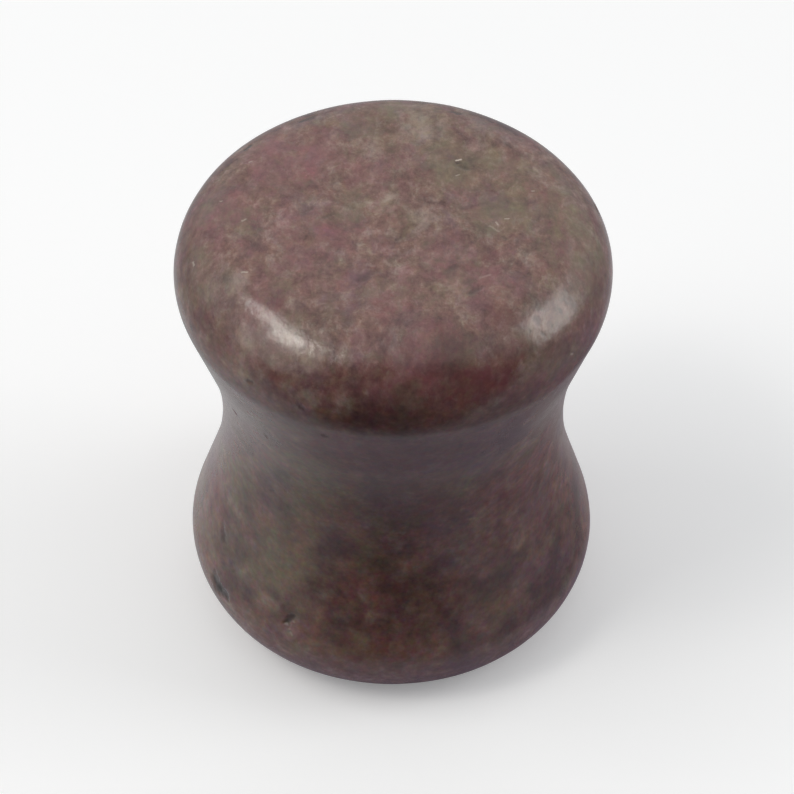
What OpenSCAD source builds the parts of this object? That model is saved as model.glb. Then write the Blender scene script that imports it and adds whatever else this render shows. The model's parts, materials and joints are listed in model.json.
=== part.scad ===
// Double-flared ear plug, ground and polished from one piece of mottled stone.
// It is a solid of revolution about Z and stands on its lower flare, with that flat face at z = 0.
// Lengths are in millimetres and angles in degrees.

/* [Gauge] */
// Diameter of the waist: the gauge of the stretched lobe that it sits in
gauge_d = 10; // [8:0.5:14]
// Length from one flat face to the other
plug_len = 14.4; // [13:0.1:18]

/* [Flares] */
// How far each flare stands out beyond the waist, measured on the radius
flare_rise = 1.125; // [0.8:0.025:1.5]
// Radius of the rounded rim between a flat face and its flare
rim_r = 2; // [1:0.1:2.4]

/* [Saddle] */
// Radius of the hollow curve along the waist, made smaller where the flares leave it less room
saddle_r = 9; // [5:0.5:10]

/* [Hidden] */
$fn = 180;
stone_colour = "#7d655f";

waist_r = gauge_d / 2;
flare_r = waist_r + flare_rise;
mid_z = plug_len / 2;

// Centre of the upper rim's arc, and its height above the waist
rim_c = [flare_r - rim_r, plug_len - rim_r];
rim_h = rim_c.y - mid_z;

// At its limit the saddle would run straight into the rims. It may use this share of that radius.
saddle_share = 0.98;
saddle_limit = (rim_h * rim_h / flare_rise + flare_rise) / 2 - rim_r;
saddle_arc_r = min(saddle_r, saddle_share * saddle_limit);
saddle_c = [waist_r + saddle_arc_r, mid_z];

// The straight taper of a flare runs from the saddle to the rim and cuts this far into both their circles
taper_bite = 0.001;
taper_gap = rim_r + saddle_arc_r - 2 * taper_bite;

// Lean of the taper away from the plug's axis
flare_angle = asin(taper_gap / norm(saddle_c - rim_c)) - atan2(saddle_c.x - rim_c.x, rim_h);

// Point at distance d from c, at angle a above the radial direction
function polar(c, d, a) = c + d * [cos(a), sin(a)];

// The same point on the lower half of the plug
function flip(p) = [p.x, plug_len - p.y];

// The two ends of the upper taper
taper_in = polar(saddle_c, saddle_arc_r - taper_bite, 180 - flare_angle);
taper_out = polar(rim_c, rim_r - taper_bite, -flare_angle);

// Half of the plug's lengthwise section: straight edges and rims, less the saddle
module section() {
    difference() {
        union() {
            polygon([
                [0, 0],
                [rim_c.x, 0],
                flip(taper_out),
                flip(taper_in),
                taper_in,
                taper_out,
                [rim_c.x, plug_len],
                [0, plug_len]
            ]);
            translate(rim_c) circle(rim_r);
            translate(flip(rim_c)) circle(rim_r);
        }
        translate(saddle_c) circle(saddle_arc_r);
    }
}

// The whole plug
module stone_plug() {
    color(stone_colour) rotate_extrude() section();
}

stone_plug();
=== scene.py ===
"""A double-flared ear plug of polished rhodonite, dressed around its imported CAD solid.

Blender works in metres here. The stone is shaped in millimetres and scaled down once, when its mesh is
written. +Z is the plug's own axis, and the plug stands on its lower flare.
"""

import json
import math
import random
from collections import namedtuple

import bmesh
import bpy
import numpy as np
from mathutils import Matrix, Quaternion, Vector, noise
from mathutils.bvhtree import BVHTree


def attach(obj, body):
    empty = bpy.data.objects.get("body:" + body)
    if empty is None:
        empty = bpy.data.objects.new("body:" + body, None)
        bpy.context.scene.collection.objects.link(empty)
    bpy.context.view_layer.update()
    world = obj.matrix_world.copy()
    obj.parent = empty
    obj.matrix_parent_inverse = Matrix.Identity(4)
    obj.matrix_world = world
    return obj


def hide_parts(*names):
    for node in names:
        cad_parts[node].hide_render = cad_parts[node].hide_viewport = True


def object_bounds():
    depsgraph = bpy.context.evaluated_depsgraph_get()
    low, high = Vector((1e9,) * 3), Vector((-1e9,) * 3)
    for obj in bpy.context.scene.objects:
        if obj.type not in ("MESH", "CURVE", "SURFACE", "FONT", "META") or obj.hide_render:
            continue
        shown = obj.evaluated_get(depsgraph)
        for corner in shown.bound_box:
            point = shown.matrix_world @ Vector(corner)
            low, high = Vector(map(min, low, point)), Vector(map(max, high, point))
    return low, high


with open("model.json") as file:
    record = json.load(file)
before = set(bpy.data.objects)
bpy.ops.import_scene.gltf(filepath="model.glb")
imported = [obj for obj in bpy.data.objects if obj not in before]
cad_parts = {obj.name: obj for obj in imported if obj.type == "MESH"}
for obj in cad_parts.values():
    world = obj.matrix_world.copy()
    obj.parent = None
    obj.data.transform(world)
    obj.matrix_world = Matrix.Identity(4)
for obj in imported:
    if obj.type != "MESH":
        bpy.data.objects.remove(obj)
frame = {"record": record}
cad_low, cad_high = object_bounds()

MM = 0.001

# Sizes of the plug, in millimetres
mounts = {mount["name"]: mount for mount in frame["record"]["mounts"]}
PLUG_LEN = (cad_high.z - cad_low.z) / MM
HALF_LEN = PLUG_LEN / 2
FLARE_R = (cad_high.x - cad_low.x) / 2 / MM
WAIST_R = mounts["lobe_saddle"]["dims"]["r_mm"]
RIM_R = 2.0
SADDLE_R = 9.0

# The photograph's view. Pixels are those of its 794 x 794 frame.
PHOTO_SIDE = 794
PHOTO_FOCAL = 2605.6
PLUG_MIDDLE_PX = (392.7, 395.6)
CAMERA_RAISE = math.radians(46.0)
CAMERA_ROLL = math.radians(0.4)
CAMERA_DISTANCE = 76.6
SENSOR_WIDTH = 36.0

# Mesh of the stone: cells across a flat face, height of a wall cell in millimetres, and how often the edges
# round a mark are cut, out to this many of its radii
CAP_CELLS = 80
WALL_CELL = 0.11
FINE_CUTS = 3
FINE_REACH = 1.4

# Hand-ground unevenness: broad waves and fine ones, each with its height and its breadth in millimetres. It
# fades out over the lowest part of the plug, so that the foot stays flat.
BROAD_WAVE = (0.035, 5.0)
FINE_WAVE = (0.006, 0.9)
FOOT_FADE = 0.6

# A mark's edge is broken by this share of its radius, by noise of this share of it
RAGGED = 0.6
RAGGED_GRAIN = 0.7


def linear(hex_colour):
    """An sRGB hex colour as linear red, green, blue and alpha."""
    parts = [int(hex_colour[i:i + 2], 16) / 255 for i in (1, 3, 5)]
    return [c / 12.92 if c <= 0.04045 else ((c + 0.055) / 1.055) ** 2.4 for c in parts] + [1.0]


# Camera

def photo_camera():
    """The camera at the photograph's angle and distance, turned towards the middle of the plug."""
    data = bpy.data.cameras.new("camera")
    data.sensor_width = SENSOR_WIDTH
    data.lens = PHOTO_FOCAL / PHOTO_SIDE * SENSOR_WIDTH
    data.shift_x = 0.5 - PLUG_MIDDLE_PX[0] / PHOTO_SIDE
    data.shift_y = PLUG_MIDDLE_PX[1] / PHOTO_SIDE - 0.5
    data.clip_start = 0.005
    camera = bpy.data.objects.new("camera", data)
    bpy.context.scene.collection.objects.link(camera)
    back = Vector((0, -math.cos(CAMERA_RAISE), math.sin(CAMERA_RAISE)))
    place = Vector((0, 0, HALF_LEN)) + CAMERA_DISTANCE * back
    tilt = Matrix.Rotation(math.pi / 2 - CAMERA_RAISE, 4, "X")
    camera.matrix_world = Matrix.Translation(place * MM) @ tilt @ Matrix.Rotation(CAMERA_ROLL, 4, "Z")
    bpy.context.scene.camera = camera
    return camera


def sight_line(camera, px, py):
    """Start and direction, in millimetres, of the line of sight through a pixel of the photograph."""
    x = (px - PLUG_MIDDLE_PX[0]) / PHOTO_FOCAL
    y = (PLUG_MIDDLE_PX[1] - py) / PHOTO_FOCAL
    turned = camera.matrix_world.to_3x3() @ Vector((x, y, -1))
    return camera.matrix_world.translation / MM, turned.normalized()


# Shape of the stone

def taper_lean():
    """Lean of the straight taper, which touches the rim's arc at one end and the saddle's at the other."""
    across = RIM_R + SADDLE_R - (FLARE_R - WAIST_R)
    up = HALF_LEN - RIM_R
    return math.asin((RIM_R + SADDLE_R) / math.hypot(across, up)) - math.atan2(across, up)


LEAN = taper_lean()
RIM_C = (FLARE_R - RIM_R, HALF_LEN - RIM_R)


def half_wall():
    """Radius and height above the waist, from the waist round the rim to the edge of the flat face."""
    cells = round(SADDLE_R * LEAN / WALL_CELL)
    a = np.linspace(0, LEAN, cells, endpoint=False)
    saddle = np.column_stack([WAIST_R + SADDLE_R * (1 - np.cos(a)), SADDLE_R * np.sin(a)])
    cells = round(RIM_R * (LEAN + math.pi / 2) / WALL_CELL)
    a = np.linspace(-LEAN, math.pi / 2, cells + 1)
    rim = np.column_stack([RIM_C[0] + RIM_R * np.cos(a), RIM_C[1] + RIM_R * np.sin(a)])
    start = np.array([WAIST_R + SADDLE_R * (1 - math.cos(LEAN)), SADDLE_R * math.sin(LEAN)])
    cells = round(np.linalg.norm(rim[0] - start) / WALL_CELL)
    share = np.linspace(0, 1, cells, endpoint=False)[:, None]
    return np.vstack([saddle, start + share * (rim[0] - start), rim])


def outward(points):
    """Unit normals of the ideal plug at points on it, all in millimetres."""
    x, y, z = points.T
    r = np.maximum(np.hypot(x, y), 1e-9)
    h = np.abs(z - HALF_LEN)
    on_rim = np.clip(np.arctan2(h - RIM_C[1], r - RIM_C[0]), -LEAN, math.pi / 2)
    on_saddle = -np.arcsin(np.minimum(h / SADDLE_R, 1))
    tilt = np.where(h < SADDLE_R * math.sin(LEAN), on_saddle, on_rim)
    side = np.sign(z - HALF_LEN)
    return np.column_stack([np.cos(tilt) * x / r, np.cos(tilt) * y / r, np.sin(tilt) * side])


def disc_point(a, b):
    """The point of a unit disc that stands for (a, b) of the square from -1 to 1, in even rings."""
    if a == 0 and b == 0:
        return 0.0, 0.0
    if abs(a) > abs(b):
        r, turn = a, math.pi / 4 * b / a
    else:
        r, turn = b, math.pi / 2 - math.pi / 4 * a / b
    return r * math.cos(turn), r * math.sin(turn)


def blank_stone():
    """The ideal plug as a closed mesh of even quads, in millimetres: a ringed wall and two gridded faces."""
    wall = half_wall()
    rings = [(r, HALF_LEN - h) for r, h in wall[::-1]] + [(r, HALF_LEN + h) for r, h in wall[1:]]
    n = CAP_CELLS
    edge = [(i, 0) for i in range(n)] + [(n, j) for j in range(n)]
    edge += [(n - i, n) for i in range(n)] + [(0, n - j) for j in range(n)]
    turns = [disc_point(2 * i / n - 1, 2 * j / n - 1) for i, j in edge]
    bm = bmesh.new()
    loops = [[bm.verts.new((r * x, r * y, z)) for x, y in turns] for r, z in rings]
    for low, high in zip(loops, loops[1:]):
        for k in range(len(turns)):
            bm.faces.new((low[k - 1], low[k], high[k], high[k - 1]))
    for loop, (r, z), upward in ((loops[0], rings[0], False), (loops[-1], rings[-1], True)):
        grid = dict(zip(edge, loop))
        for i in range(1, n):
            for j in range(1, n):
                x, y = disc_point(2 * i / n - 1, 2 * j / n - 1)
                grid[i, j] = bm.verts.new((r * x, r * y, z))
        for i in range(n):
            for j in range(n):
                corners = [grid[i, j], grid[i + 1, j], grid[i + 1, j + 1], grid[i, j + 1]]
                bm.faces.new(corners if upward else corners[::-1])
    return bm


# Marks on the stone. Each runs from one pixel of the photograph to another. Its radius and depth are in
# millimetres. Its tone runs from -1, packed with dark grime, to 1, a pale chip; the small pale specks are
# painted glints as much as chips.
Mark = namedtuple("Mark", "x0 y0 x1 y1 radius depth tone")
MARKS = [
    Mark(457, 165, 464, 168, 0.15, 0.030, -0.2),
    # Tone above 0 here and below: pale chips and painted glints at pit edges.
    Mark(456, 161, 461, 160, 0.035, 0.000, 0.9),
    Mark(457, 163, 460, 163, 0.045, 0.030, -0.4),
    Mark(456, 176, 459, 175, 0.03, 0.010, 0.35),
    Mark(242, 272, 247, 272, 0.04, 0.010, 0.45),
    Mark(193, 262, 194, 265, 0.05, 0.020, 0.5),
    Mark(220, 201, 222, 201, 0.035, 0.015, 0.35),
    Mark(242, 221, 246, 219, 0.035, 0.015, 0.35),
    Mark(249, 162, 252, 161, 0.035, 0.010, 0.35),
    Mark(361, 280, 374, 270, 0.20, 0.030, -0.28),
    Mark(470, 293, 481, 287, 0.14, 0.035, -0.35),
    Mark(390, 259, 412, 248, 0.16, 0.016, -0.24),
    Mark(303, 213, 312, 208, 0.11, 0.014, -0.28),
    Mark(334, 200, 352, 208, 0.12, 0.012, -0.24),
    Mark(447, 270, 456, 266, 0.13, 0.016, -0.28),
    Mark(445, 189, 454, 194, 0.10, 0.010, -0.18),
    Mark(398, 217, 402, 224, 0.10, 0.010, -0.18),
    Mark(384, 201, 394, 196, 0.12, 0.000, 0.12),
    Mark(431, 199, 436, 201, 0.11, 0.000, 0.1),
    Mark(368, 264, 373, 266, 0.10, 0.000, 0.12),
    Mark(385, 261, 390, 265, 0.10, 0.000, 0.12),
    Mark(480, 278, 490, 275, 0.05, 0.000, 0.15),
    Mark(496, 222, 498, 225, 0.035, 0.020, 0.45),
    Mark(490, 226, 499, 232, 0.045, 0.010, 0.2),
    Mark(505, 219, 509, 219, 0.03, 0.010, 0.45),
    Mark(503, 237, 506, 239, 0.07, 0.020, -0.3),
    Mark(532, 191, 534, 191, 0.03, 0.010, 0.45),
    Mark(595, 205, 598, 212, 0.07, 0.040, -0.7),
    Mark(571, 354, 573, 354, 0.04, 0.010, 0.4),
    Mark(249, 381, 252, 382, 0.10, 0.030, -0.45),
    Mark(234, 411, 236, 414, 0.08, 0.030, -0.5),
    Mark(266, 436, 267, 437, 0.10, 0.012, -0.25),
    Mark(301, 407, 303, 408, 0.12, 0.012, -0.25),
    Mark(323, 435, 327, 436, 0.10, 0.012, -0.3),
    Mark(271, 491, 273, 491, 0.12, 0.012, -0.3),
    Mark(285, 491, 286, 492, 0.08, 0.012, -0.2),
    Mark(215, 579, 219, 587, 0.32, 0.050, -0.8),
    Mark(221, 589, 227, 596, 0.26, 0.040, -0.7),
    Mark(287, 622, 293, 617, 0.17, 0.045, -0.5),
    Mark(283, 618, 290, 613, 0.34, 0.025, -0.25),
    Mark(223, 525, 225, 540, 0.20, 0.020, -0.35),
    Mark(325, 217, 333, 213, 0.10, 0.012, -0.24),
    Mark(396, 240, 405, 236, 0.10, 0.012, -0.22),
    Mark(291, 633, 292, 635, 0.06, 0.000, 0.22),
    Mark(289, 629, 290, 629, 0.04, 0.000, 0.2),
    # Dark specks in the right highlight: painted shade standing in for the reflection broken by pits, over
    # dents too shallow to break it.
    Mark(542, 333, 543, 334, 0.11, 0.003, -0.5),
    Mark(560, 310, 561, 312, 0.11, 0.003, -0.5),
    Mark(535, 318, 538, 321, 0.17, 0.004, -0.45),
    Mark(552, 325, 552, 326, 0.08, 0.002, -0.4),
    Mark(566, 302, 567, 303, 0.08, 0.002, -0.4),
    Mark(530, 331, 530, 332, 0.07, 0.002, -0.4),
]
UNSEEN_PITS = 16

# Drifts of colour. Each has the pixel of its middle, its radius in millimetres and its strength, which is
# below 0 where the colour thins out. Where drifts of one colour overlap, the strongest shows. Some of the
# wine-red, pale and darkest drifts are painted shade or painted highlight, as noted at their lists.
Drift = namedtuple("Drift", "px py radius share")
DRIFTS = {
    "olive": [
        Drift(400, 118, 2.4, 0.8),
        Drift(455, 155, 2.2, 0.8),
        Drift(540, 190, 2.0, 0.8),
        Drift(548, 212, 1.8, 1.0),
        Drift(512, 215, 1.6, 0.8),
        Drift(575, 240, 1.4, 0.8),
        Drift(592, 265, 1.6, 1.0),
        Drift(562, 298, 1.2, 0.8),
        Drift(232, 285, 1.2, 0.5),
        Drift(230, 400, 2.0, 0.5),
        Drift(285, 560, 2.6, 1.3),
        Drift(320, 490, 2.6, 1.2),
        Drift(240, 500, 2.0, 0.9),
    ],
    "rose": [
        Drift(290, 160, 2.0, 0.9),
        Drift(370, 170, 1.2, 0.8),
        Drift(340, 135, 1.2, 0.7),
        Drift(330, 240, 2.0, 0.5),
        Drift(450, 270, 2.2, 0.5),
        Drift(420, 360, 3.0, 0.8),
        Drift(250, 340, 1.6, 0.3),
        Drift(208, 205, 1.4, 1.0),
        Drift(290, 600, 3.2, -0.8),
        Drift(500, 600, 3.8, -0.8),
        Drift(560, 500, 3.0, -0.6),
        Drift(240, 530, 2.4, -0.6),
        Drift(235, 228, 1.2, 0.5),
    ],
    "mauve": [
        Drift(545, 560, 3.4, 1.3),
        Drift(450, 545, 2.2, 0.9),
        Drift(570, 490, 2.4, 0.8),
        Drift(480, 470, 2.4, 0.7),
        Drift(393, 515, 1.8, 1.4),
        Drift(505, 445, 1.6, 1.0),
        Drift(480, 640, 2.6, 1.1),
        Drift(290, 380, 1.2, 0.3),
    ],
    # Wine-red colour of the stone, and painted shade: the drifts along the front under the upper rim paint
    # the dark band there, and the one at 508, 325 dims the edge of the right highlight.
    "wine": [
        Drift(460, 370, 2.2, 1.0),
        Drift(390, 400, 1.8, 0.8),
        Drift(510, 375, 1.6, 0.8),
        Drift(350, 640, 2.0, 0.6),
        Drift(335, 325, 1.0, 0.5),
        Drift(393, 300, 1.2, 0.4),
        Drift(455, 356, 1.4, 1.2),
        Drift(508, 325, 1.0, 0.8),
        Drift(507, 443, 1.2, 1.0),
        Drift(212, 300, 1.0, 1.0),
        Drift(510, 570, 3.2, -0.6),
        Drift(260, 580, 2.4, -0.6),
        Drift(258, 342, 0.9, 0.9),
        Drift(528, 412, 0.8, 0.8),
    ],
    # Pale patches of the stone, and painted highlight: the drifts round the left highlight's tail and below
    # it, and those beside the right highlight, paint its glow.
    "pale": [
        Drift(235, 280, 0.65, 1.0),
        Drift(290, 630, 0.6, 0.4),
        Drift(393, 205, 0.8, 0.8),
        Drift(422, 128, 2.2, 0.6),
        Drift(240, 360, 1.6, 0.8),
        Drift(222, 285, 0.9, 1.0),
        Drift(422, 218, 0.8, 0.8),
        Drift(364, 148, 0.9, 0.8),
        Drift(308, 360, 0.9, 0.8),
        Drift(478, 148, 0.9, 0.6),
        Drift(528, 360, 0.8, 0.6),
        Drift(528, 312, 0.8, 0.5),
        Drift(308, 398, 0.8, 0.6),
    ],
    # Dark patches of the stone, and painted shade: the drifts over the lower body and foot, under the front
    # of the upper rim, on the back rim's glow and at the right highlight's tail paint shade.
    "dark_and_painted_shade": [
        Drift(225, 530, 0.5, 0.7),
        Drift(370, 505, 0.9, 0.5),
        Drift(368, 560, 1.2, 0.5),
        Drift(385, 605, 2.8, 1.0),
        Drift(325, 605, 2.2, 0.9),
        Drift(500, 620, 2.8, 0.8),
        Drift(560, 580, 3.2, 1.3),
        Drift(565, 520, 2.6, 1.1),
        Drift(300, 520, 3.0, 0.45),
        Drift(282, 500, 1.6, 1.4),
        Drift(335, 560, 1.4, 1.4),
        Drift(240, 540, 2.0, 1.2),
        Drift(430, 322, 2.6, 0.35),
        Drift(235, 590, 1.4, 1.5),
        Drift(395, 618, 1.4, 1.5),
        Drift(455, 358, 1.6, 0.8),
        Drift(335, 325, 1.0, 0.6),
        Drift(570, 300, 1.2, 0.5),
        Drift(578, 545, 1.2, 1.5),
        Drift(505, 580, 2.0, 1.2),
        Drift(450, 600, 2.0, 1.1),
        Drift(507, 443, 1.2, 1.7),
        Drift(385, 405, 1.8, 0.9),
        Drift(338, 402, 1.0, 0.4),
        Drift(508, 127, 1.6, 0.9),
        Drift(455, 272, 0.8, 0.4),
        Drift(460, 380, 2.0, 0.5),
        Drift(267, 367, 0.6, 0.5),
        Drift(522, 181, 0.5, 0.5),
        Drift(464, 168, 0.8, 0.4),
        Drift(422, 360, 0.9, 1.0),
        Drift(478, 358, 0.9, 0.9),
        Drift(528, 412, 0.8, 0.8),
        Drift(422, 575, 0.9, 1.4),
        Drift(528, 252, 0.8, 0.6),
        Drift(488, 204, 0.4, 0.5),
    ],
}


def seen_point(tree, camera, px, py):
    """The point of the plug that shows at a pixel of the photograph."""
    start, towards = sight_line(camera, px, py)
    hit = tree.ray_cast(start, towards)[0]
    if hit is None:
        raise ValueError(f"pixel {px}, {py} misses the plug")
    return np.array(hit)


def distance_to_run(points, start, end):
    """Distance of each point from the straight run between two points."""
    run = end - start
    share = np.clip((points - start) @ run / max(run @ run, 1e-12), 0, 1)
    return np.linalg.norm(points - start - share[:, None] * run, axis=1)


def bowl(distance, radius):
    """1 in the middle of a hollow, falling smoothly to 0 at its radius."""
    share = np.clip(distance / radius, 0, 1)
    return (1 - share ** 2) ** 2


def ragged_bowl(points, start, end, radius):
    """A bowl along a run, with the broken edge of chipped stone."""
    distance = distance_to_run(points, start, end)
    near = np.flatnonzero(distance < 2 * radius)
    for k in near:
        distance[k] *= 1 + RAGGED * noise.noise(Vector(points[k]) / (RAGGED_GRAIN * radius))
    return bowl(distance, radius)


def hand_finish(points):
    """How far a hand-ground surface wanders from the ideal one, in millimetres, at each point."""
    broad, fine = [], []
    for p in points:
        broad.append(noise.noise(Vector(p) / BROAD_WAVE[1]))
        fine.append(noise.noise(Vector(p) / FINE_WAVE[1] + Vector((7, 3, 1))))
    return BROAD_WAVE[0] * np.array(broad) + FINE_WAVE[0] * np.array(fine)


def unseen_pits():
    """Small pits scattered over the back, which the photograph doesn't show: start, end and mark of each."""
    draw = random.Random(7)
    wall = half_wall()
    runs = []
    for _ in range(UNSEEN_PITS):
        r, h = wall[draw.randrange(len(wall))]
        z = HALF_LEN + draw.choice((-1, 1)) * h
        turn = math.radians(draw.uniform(20, 160))
        length = draw.uniform(0.0, 0.3) / r
        ends = [np.array([r * math.cos(a), r * math.sin(a), z]) for a in (turn, turn + length)]
        radius = draw.uniform(0.11, 0.24)
        depth = draw.uniform(0.05, 0.12) * radius
        runs.append((*ends, Mark(0, 0, 0, 0, radius, depth, draw.uniform(-0.6, -0.2))))
    return runs


def make_stone(camera):
    """The plug's stone: the ideal shape with hand-ground unevenness and marks, and its drifts of colour, some
    of them painted shade and painted highlight.
    """
    bm = blank_stone()
    tree = BVHTree.FromBMesh(bm)
    runs = [(seen_point(tree, camera, m.x0, m.y0), seen_point(tree, camera, m.x1, m.y1), m) for m in MARKS]
    runs += unseen_pits()
    bm.verts.ensure_lookup_table()
    points = np.array([v.co for v in bm.verts])
    near = np.zeros(len(points), bool)
    for start, end, mark in runs:
        near |= distance_to_run(points, start, end) < FINE_REACH * mark.radius + WALL_CELL
    edges = [e for e in bm.edges if near[e.verts[0].index] and near[e.verts[1].index]]
    bmesh.ops.subdivide_edges(bm, edges=edges, cuts=FINE_CUTS, use_grid_fill=True)

    points = np.array([v.co for v in bm.verts])
    normals = outward(points)
    standing = np.clip(points[:, 2] / FOOT_FADE, 0, 1)
    sink = -hand_finish(points) * standing
    shares = {"tone": np.zeros(len(points))}
    for start, end, mark in runs:
        hollow = ragged_bowl(points, start, end, mark.radius)
        sink += mark.depth * hollow
        shares["tone"] += mark.tone * hollow
    for name, drifts in DRIFTS.items():
        shares[name] = np.zeros(len(points))
        for drift in drifts:
            middle = seen_point(tree, camera, drift.px, drift.py)
            share = drift.share * bowl(np.linalg.norm(points - middle, axis=1), drift.radius)
            shares[name] = np.where(abs(share) > abs(shares[name]), share, shares[name])

    mesh = bpy.data.meshes.new("plug_stone")
    bm.to_mesh(mesh)
    bm.free()
    mesh.vertices.foreach_set("co", ((points - sink[:, None] * normals) * MM).ravel())
    for name, share in shares.items():
        mesh.attributes.new(name, "FLOAT", "POINT").data.foreach_set("value", share)
    mesh.polygons.foreach_set("use_smooth", [True] * len(mesh.polygons))
    mesh.update()
    stone = bpy.data.objects.new("plug_stone", mesh)
    bpy.context.scene.collection.objects.link(stone)
    return stone


# Materials

def add(tree, kind, settings=None, inputs=None, stops=None):
    """Adds a node: its properties, its values or links by name or number, and the stops of its ramp."""
    made = tree.nodes.new(kind)
    for name, value in (settings or {}).items():
        setattr(made, name, value)
    for key, value in (inputs or {}).items():
        if isinstance(value, bpy.types.NodeSocket):
            tree.links.new(value, made.inputs[key])
        else:
            made.inputs[key].default_value = value
    for k, (place, colour) in enumerate(stops or []):
        elements = made.color_ramp.elements
        element = elements[k] if k < len(elements) else elements.new(place)
        element.position = place
        element.color = colour
    return made


# Clouds of colour in the stone, laid one over another. Each has the drifts that raise it, its size in
# millimetres, which draw of the noise it is, how far its drifts raise it, the heights at which it starts
# and is full, its share there and its colour. Where their drifts lie, the wine-red, pale and darkest clouds
# also carry painted shade and painted highlight.
Cloud = namedtuple("Cloud", "drift size draw raised start full share colour")
CLOUDS = [
    Cloud("rose", 1.4, 11.0, 0.22, 0.48, 0.74, 0.75, "#895a60"),
    Cloud("mauve", 1.4, 17.0, 0.18, 0.52, 0.74, 0.75, "#68505b"),
    Cloud("wine", 1.2, 19.0, 0.20, 0.56, 0.76, 0.80, "#6a3b3d"),
    Cloud("olive", 1.2, 23.0, 0.20, 0.51, 0.74, 0.75, "#766c55"),
    Cloud("pale", 0.9, 29.0, 0.30, 0.60, 0.85, 0.70, "#a9968c"),
    # The darkest cloud: partly the stone's dark patches, partly painted shade.
    Cloud("dark_and_painted_shade", 0.9, 31.0, 0.20, 0.54, 0.80, 0.75, "#3a2a2e"),
]


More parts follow.
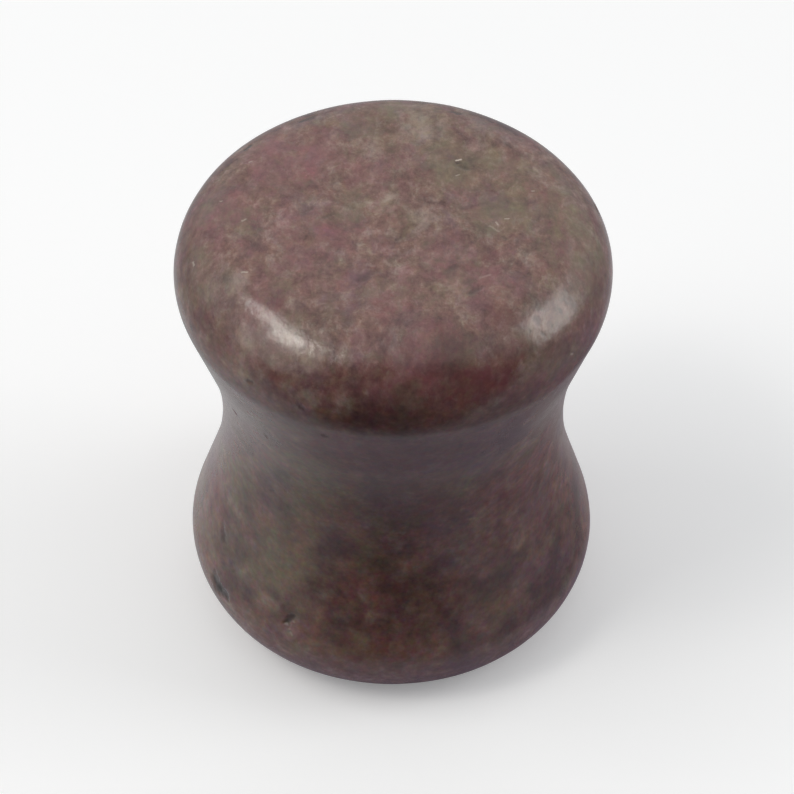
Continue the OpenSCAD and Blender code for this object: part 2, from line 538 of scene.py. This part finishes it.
def polished_rhodonite():
    """Rhodonite, ground to shape and tumble-polished. It gives the eye clouds of rose, mauve and taupe with
    olive drifts, a sugary grain of pale and wine-dark crystals, and a soft shine that breaks up on the relief
    the polish leaves."""
    material = bpy.data.materials.new("polished rhodonite")
    material.use_nodes = True
    tree = material.node_tree
    tree.nodes.clear()
    coords = add(tree, "ShaderNodeTexCoord").outputs["Object"]
    place = add(tree, "ShaderNodeVectorMath", {"operation": "SCALE"},
                {0: coords, "Scale": 1 / MM}).outputs[0]

    # The flat faces are less finely polished than the waist, and show the crystals more sharply
    height = add(tree, "ShaderNodeSeparateXYZ", None, {0: place}).outputs["Z"]
    height = add(tree, "ShaderNodeMath", {"operation": "SUBTRACT"}, {0: height, 1: HALF_LEN}).outputs[0]
    height = add(tree, "ShaderNodeMath", {"operation": "ABSOLUTE"}, {0: height}).outputs[0]
    face = add(tree, "ShaderNodeMapRange", None,
               {"Value": height, "From Min": HALF_LEN - 2.6, "From Max": HALF_LEN - 0.3}).outputs[0]
    fineness = add(tree, "ShaderNodeMath", {"operation": "MULTIPLY_ADD"},
                   {0: face, 1: 0.25, 2: 0.5}).outputs[0]
    shown = add(tree, "ShaderNodeMath", {"operation": "MULTIPLY_ADD"}, {0: face, 1: 0.2, 2: 0.8}).outputs[0]

    # The crystals lie a little longer from front to back, and bends 1 mm across hide the noise's round shape
    place = add(tree, "ShaderNodeVectorMath", {"operation": "MULTIPLY"},
                {0: place, 1: (1.0, 0.75, 1.0)}).outputs[0]
    bend = add(tree, "ShaderNodeTexNoise", None,
               {"Vector": place, "Scale": 1 / 1.0, "Detail": 2.0}).outputs["Color"]
    bend = add(tree, "ShaderNodeVectorMath", {"operation": "SUBTRACT"},
               {0: bend, 1: (0.5, 0.5, 0.5)}).outputs[0]
    bent = add(tree, "ShaderNodeVectorMath", {"operation": "MULTIPLY_ADD"},
               {0: bend, 1: (0.35, 0.35, 0.35), 2: place}).outputs[0]

    # Crystals of 0.5 mm and less, from wine-dark to pale
    crystal = add(tree, "ShaderNodeTexNoise", None,
                  {"Vector": bent, "Scale": 1 / 0.5, "Detail": 4.0, "Roughness": fineness}).outputs["Fac"]
    contrast = add(tree, "ShaderNodeMath", {"operation": "MULTIPLY_ADD"},
                   {0: face, 1: 0.6, 2: 0.5}).outputs[0]
    swing = add(tree, "ShaderNodeMath", {"operation": "SUBTRACT"}, {0: crystal, 1: 0.5}).outputs[0]
    swing = add(tree, "ShaderNodeMath", {"operation": "MULTIPLY_ADD"},
                {0: swing, 1: contrast, 2: 0.5}).outputs[0]
    body = add(tree, "ShaderNodeValToRGB", None, {"Fac": swing}, [
        (0.30, linear("#54362f")),
        (0.42, linear("#6c4e48")),
        (0.52, linear("#7d5f56")),
        (0.61, linear("#8c736a")),
        (0.76, linear("#a59188")),
    ]).outputs["Color"]

    for cloud in CLOUDS:
        drawn = add(tree, "ShaderNodeVectorMath", {"operation": "ADD"},
                    {0: bent, 1: (cloud.draw, 2 * cloud.draw, -cloud.draw)}).outputs[0]
        drawn = add(tree, "ShaderNodeTexNoise", None, {
            "Vector": drawn,
            "Scale": 1 / cloud.size,
            "Detail": 6.0,
            "Roughness": fineness,
        }).outputs["Fac"]
        drift = add(tree, "ShaderNodeAttribute", {"attribute_name": cloud.drift}).outputs["Fac"]
        drawn = add(tree, "ShaderNodeMath", {"operation": "MULTIPLY_ADD"},
                    {0: drift, 1: cloud.raised, 2: drawn}).outputs[0]
        share = add(tree, "ShaderNodeMapRange", None, {
            "Value": drawn,
            "From Min": cloud.start,
            "From Max": cloud.full,
            "To Max": cloud.share,
        }).outputs[0]
        share = add(tree, "ShaderNodeMath", {"operation": "MULTIPLY"}, {0: share, 1: shown}).outputs[0]
        body = add(tree, "ShaderNodeMix", {"data_type": "RGBA"},
                   {0: share, 6: body, 7: linear(cloud.colour)}).outputs[2]

    # Each grain, 0.3 mm across, is a little lighter or darker and leans towards pink, ochre or violet
    jag = add(tree, "ShaderNodeTexNoise", None,
              {"Vector": place, "Scale": 1 / 0.15, "Detail": 1.0}).outputs["Color"]
    jagged = add(tree, "ShaderNodeVectorMath", {"operation": "MULTIPLY_ADD"},
                 {0: jag, 1: (0.25, 0.25, 0.25), 2: bent}).outputs[0]
    grain = add(tree, "ShaderNodeTexVoronoi", None, {"Vector": jagged, "Scale": 1 / 0.3}).outputs["Color"]
    lean = add(tree, "ShaderNodeVectorMath", {"operation": "MULTIPLY_ADD"},
               {0: grain, 1: (0.08, 0.08, 0.08), 2: (0.96, 0.96, 0.96)}).outputs[0]
    body = add(tree, "ShaderNodeMix", {"data_type": "RGBA", "blend_type": "MULTIPLY"},
               {0: shown, 6: body, 7: lean}).outputs[2]
    tint = add(tree, "ShaderNodeTexNoise", None,
               {"Vector": jagged, "Scale": 1 / 0.4, "Detail": 3.0, "Roughness": 0.7}).outputs["Color"]
    tint = add(tree, "ShaderNodeVectorMath", {"operation": "MULTIPLY_ADD"},
               {0: tint, 1: (0.28, 0.28, 0.28), 2: (0.87, 0.87, 0.87)}).outputs[0]
    body = add(tree, "ShaderNodeMix", {"data_type": "RGBA", "blend_type": "MULTIPLY"},
               {0: 1.0, 6: body, 7: tint}).outputs[2]

    # Sugary speckle, 0.14 mm across, that lightens and darkens the stone
    speckle = add(tree, "ShaderNodeTexNoise", None,
                  {"Vector": place, "Scale": 1 / 0.14, "Detail": 2.0, "Roughness": 0.6}).outputs["Fac"]
    glint = add(tree, "ShaderNodeMapRange", None, {
        "Value": speckle,
        "From Min": 0.3,
        "From Max": 0.7,
        "To Min": 0.89,
        "To Max": 1.11,
    }).outputs[0]
    body = add(tree, "ShaderNodeMix", {"data_type": "RGBA", "blend_type": "MULTIPLY"},
               {0: 1.0, 6: body, 7: glint}).outputs[2]

    # Down the wall, flecks 0.2 mm across shift the hue as well
    wall = add(tree, "ShaderNodeMath", {"operation": "SUBTRACT"}, {0: 1.0, 1: face}).outputs[0]
    fleck = add(tree, "ShaderNodeTexNoise", None,
                {"Vector": place, "Scale": 1 / 0.2, "Detail": 2.0, "Roughness": 0.7}).outputs["Color"]
    fleck = add(tree, "ShaderNodeVectorMath", {"operation": "MULTIPLY_ADD"},
                {0: fleck, 1: (0.9, 0.9, 0.9), 2: (0.55, 0.55, 0.55)}).outputs[0]
    body = add(tree, "ShaderNodeMix", {"data_type": "RGBA", "blend_type": "MULTIPLY"},
               {0: wall, 6: body, 7: fleck}).outputs[2]

    # Grime packed in the hollows, and pale specks that are partly crushed chips and partly painted glints
    tone = add(tree, "ShaderNodeAttribute", {"attribute_name": "tone"}).outputs["Fac"]
    for full, colour in ((-0.8, "#2a211d"), (0.8, "#d2c6ba")):
        share = add(tree, "ShaderNodeMapRange", None,
                    {"Value": tone, "From Min": 0.0, "From Max": full}).outputs[0]
        body = add(tree, "ShaderNodeMix", {"data_type": "RGBA"},
                   {0: share, 6: body, 7: linear(colour)}).outputs[2]

    # Relief that the polish leaves between harder and softer crystals, in metres
    relief = add(tree, "ShaderNodeTexNoise", None,
                 {"Vector": bent, "Scale": 1 / 0.7, "Detail": 3.0, "Roughness": 0.5}).outputs["Fac"]
    strength = add(tree, "ShaderNodeMath", {"operation": "MULTIPLY_ADD"},
                   {0: face, 1: 0.7, 2: 0.3}).outputs[0]
    bump = add(tree, "ShaderNodeBump", None,
               {"Height": relief, "Strength": strength, "Distance": 0.03 * MM}).outputs[0]

    roughness = add(tree, "ShaderNodeMapRange", None, {
        "Value": speckle,
        "From Min": 0.3,
        "From Max": 0.7,
        "To Min": 0.20,
        "To Max": 0.26,
    }).outputs[0]
    shader = add(tree, "ShaderNodeBsdfPrincipled", None,
                 {"Base Color": body, "Roughness": roughness, "IOR": 1.7, "Normal": bump})
    add(tree, "ShaderNodeOutputMaterial", None, {"Surface": shader.outputs[0]})
    return material


# Studio

def pale_board():
    """A matt white board. It is white to look at, but the stone is lit and mirrored as if by a greyer, bluish
    bench of painted light and shade. That is brighter at the left than at the right, and falls into painted
    shadow from 8 to 15 mm in front of the plug's axis."""
    material = bpy.data.materials.new("matt white board")
    material.use_nodes = True
    tree = material.node_tree
    tree.nodes.clear()
    place = add(tree, "ShaderNodeTexCoord").outputs["Object"]
    # The greys run outwards from the plug's axis, as shares of 40 mm
    reach = add(tree, "ShaderNodeVectorMath", {"operation": "LENGTH"}, {0: place}).outputs["Value"]
    reach = add(tree, "ShaderNodeMath", {"operation": "DIVIDE"}, {0: reach, 1: 40 * MM}).outputs[0]
    # At the right, the brighter ring close round the plug and the darker greys beyond it are painted light
    # and shade.
    right = add(tree, "ShaderNodeValToRGB", None, {"Fac": reach}, [
        (0.18, linear("#beb3c8")),
        (0.21, linear("#c6c3c9")),
        (0.24, linear("#9c939e")),
        (0.30, linear("#978e99")),
        (0.60, linear("#afa3b1")),
    ]).outputs["Color"]
    left = add(tree, "ShaderNodeValToRGB", None, {"Fac": reach}, [
        (0.23, linear("#e6eaf0")),
        (0.29, linear("#ccd0d6")),
        (0.40, linear("#dce0e6")),
        (0.80, linear("#afb2b8")),
    ]).outputs["Color"]
    right_front = add(tree, "ShaderNodeVectorMath", {"operation": "DOT_PRODUCT"},
                      {0: place, 1: (0.6, -0.8, 0.0)}).outputs["Value"]
    side = add(tree, "ShaderNodeMapRange", {"interpolation_type": "SMOOTHSTEP"}, {
        "Value": right_front,
        "From Min": -0.005,
        "From Max": 0.006,
    }).outputs[0]
    bench = add(tree, "ShaderNodeMix", {"data_type": "RGBA"}, {0: side, 6: left, 7: right}).outputs[2]
    place = add(tree, "ShaderNodeSeparateXYZ", None, {0: place})
    aside = add(tree, "ShaderNodeMath", {"operation": "ABSOLUTE"}, {0: place.outputs["X"]}).outputs[0]
    ahead = add(tree, "ShaderNodeMath", {"operation": "MULTIPLY_ADD"},
                {0: aside, 1: 0.5, 2: place.outputs["Y"]}).outputs[0]
    # Painted shadow on the bench, from 8 to 15 mm in front of the plug.
    depth = add(tree, "ShaderNodeMapRange", {"interpolation_type": "SMOOTHSTEP"}, {
        "Value": ahead,
        "From Min": -0.015,
        "From Max": -0.008,
        "To Min": 0.05,
    }).outputs[0]
    bench = add(tree, "ShaderNodeMix", {"data_type": "RGBA", "blend_type": "MULTIPLY"},
                {0: 1.0, 6: bench, 7: depth}).outputs[2]
    looked_at = add(tree, "ShaderNodeLightPath").outputs["Is Camera Ray"]
    colour = add(tree, "ShaderNodeMix", {"data_type": "RGBA"},
                 {0: looked_at, 6: bench, 7: linear("#f5f7fa")}).outputs[2]
    matt = add(tree, "ShaderNodeBsdfDiffuse", None, {"Color": colour}).outputs[0]
    lift = add(tree, "ShaderNodeMath", {"operation": "MULTIPLY"}, {0: looked_at, 1: 0.2}).outputs[0]
    glow = add(tree, "ShaderNodeEmission", None, {"Color": linear("#fbfdff"), "Strength": lift}).outputs[0]
    both = add(tree, "ShaderNodeAddShader", None, {0: matt, 1: glow}).outputs[0]
    add(tree, "ShaderNodeOutputMaterial", None, {"Surface": both})
    return material


def make_floor():
    """A flat square board, 2 m across, that the plug stands on."""
    bm = bmesh.new()
    bmesh.ops.create_grid(bm, x_segments=1, y_segments=1, size=1.0)
    mesh = bpy.data.meshes.new("floor")
    bm.to_mesh(mesh)
    bm.free()
    mesh.materials.append(pale_board())
    floor = bpy.data.objects.new("floor", mesh)
    bpy.context.scene.collection.objects.link(floor)
    return floor


def softbox(name, towards, away, width, height, roll, glow, colour):
    """A flat lamp that faces the plug from a direction. Its distance and sizes are in metres, its roll about
    that direction in degrees and its even glow in W/sr/m2."""
    data = bpy.data.lights.new(name, "AREA")
    data.shape = "RECTANGLE"
    data.size = width
    data.size_y = height
    data.energy = glow * math.pi * width * height
    data.color = linear(colour)[:3]
    lamp = bpy.data.objects.new(name, data)
    out = Vector(towards).normalized()
    lamp.location = Vector((0, 0, HALF_LEN * MM)) + away * out
    lamp.rotation_mode = "QUATERNION"
    lamp.rotation_quaternion = out.to_track_quat("Z", "Y") @ Quaternion((0, 0, 1), math.radians(roll))
    bpy.context.scene.collection.objects.link(lamp)
    return lamp


def room_light():
    """The room: dark on the camera's side, and evenly bright behind and above the plug."""
    world = bpy.data.worlds.new("room")
    bpy.context.scene.world = world
    world.use_nodes = True
    tree = world.node_tree
    tree.nodes.clear()
    way = add(tree, "ShaderNodeTexCoord").outputs["Generated"]
    back = Vector((0.05, 0.85, 0.50)).normalized()
    along = add(tree, "ShaderNodeVectorMath", {"operation": "DOT_PRODUCT"},
                {0: way, 1: back}).outputs["Value"]
    level = add(tree, "ShaderNodeMapRange", {"interpolation_type": "SMOOTHSTEP"}, {
        "Value": along,
        "From Min": -0.30,
        "From Max": 0.15,
        "To Min": 0.06,
        "To Max": 0.63,
    }).outputs[0]
    looked_at = add(tree, "ShaderNodeLightPath").outputs["Is Camera Ray"]
    level = add(tree, "ShaderNodeMix", {"data_type": "FLOAT"}, {0: looked_at, 2: level, 3: 0.88}).outputs[0]
    glow = add(tree, "ShaderNodeBackground", None, {"Color": linear("#fdfcfa"), "Strength": level})
    add(tree, "ShaderNodeOutputWorld", None, {"Surface": glow.outputs[0]})


camera = photo_camera()
stone = make_stone(camera)
stone.data.materials.append(polished_rhodonite())
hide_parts("stone_plug")
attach(stone, "root")

make_floor()
room_light()
softbox("window_left", (-0.55, -0.04, 0.79), 0.3, 0.15, 0.06, 0, 5.0, "#fffcf6")
softbox("lamp_left", (-0.55, -0.27, 0.76), 0.3, 0.08, 0.10, 0, 4.3, "#fff9f0")
softbox("wall_left", (-0.82, -0.37, 0.40), 0.4, 0.24, 0.22, 0, 0.9, "#fffcf8")
softbox("window_right", (0.85, 0.06, 0.43), 0.3, 0.13, 0.20, -18, 2.45, "#fffdfa")
bpy.context.scene.view_settings.view_transform = "Standard"
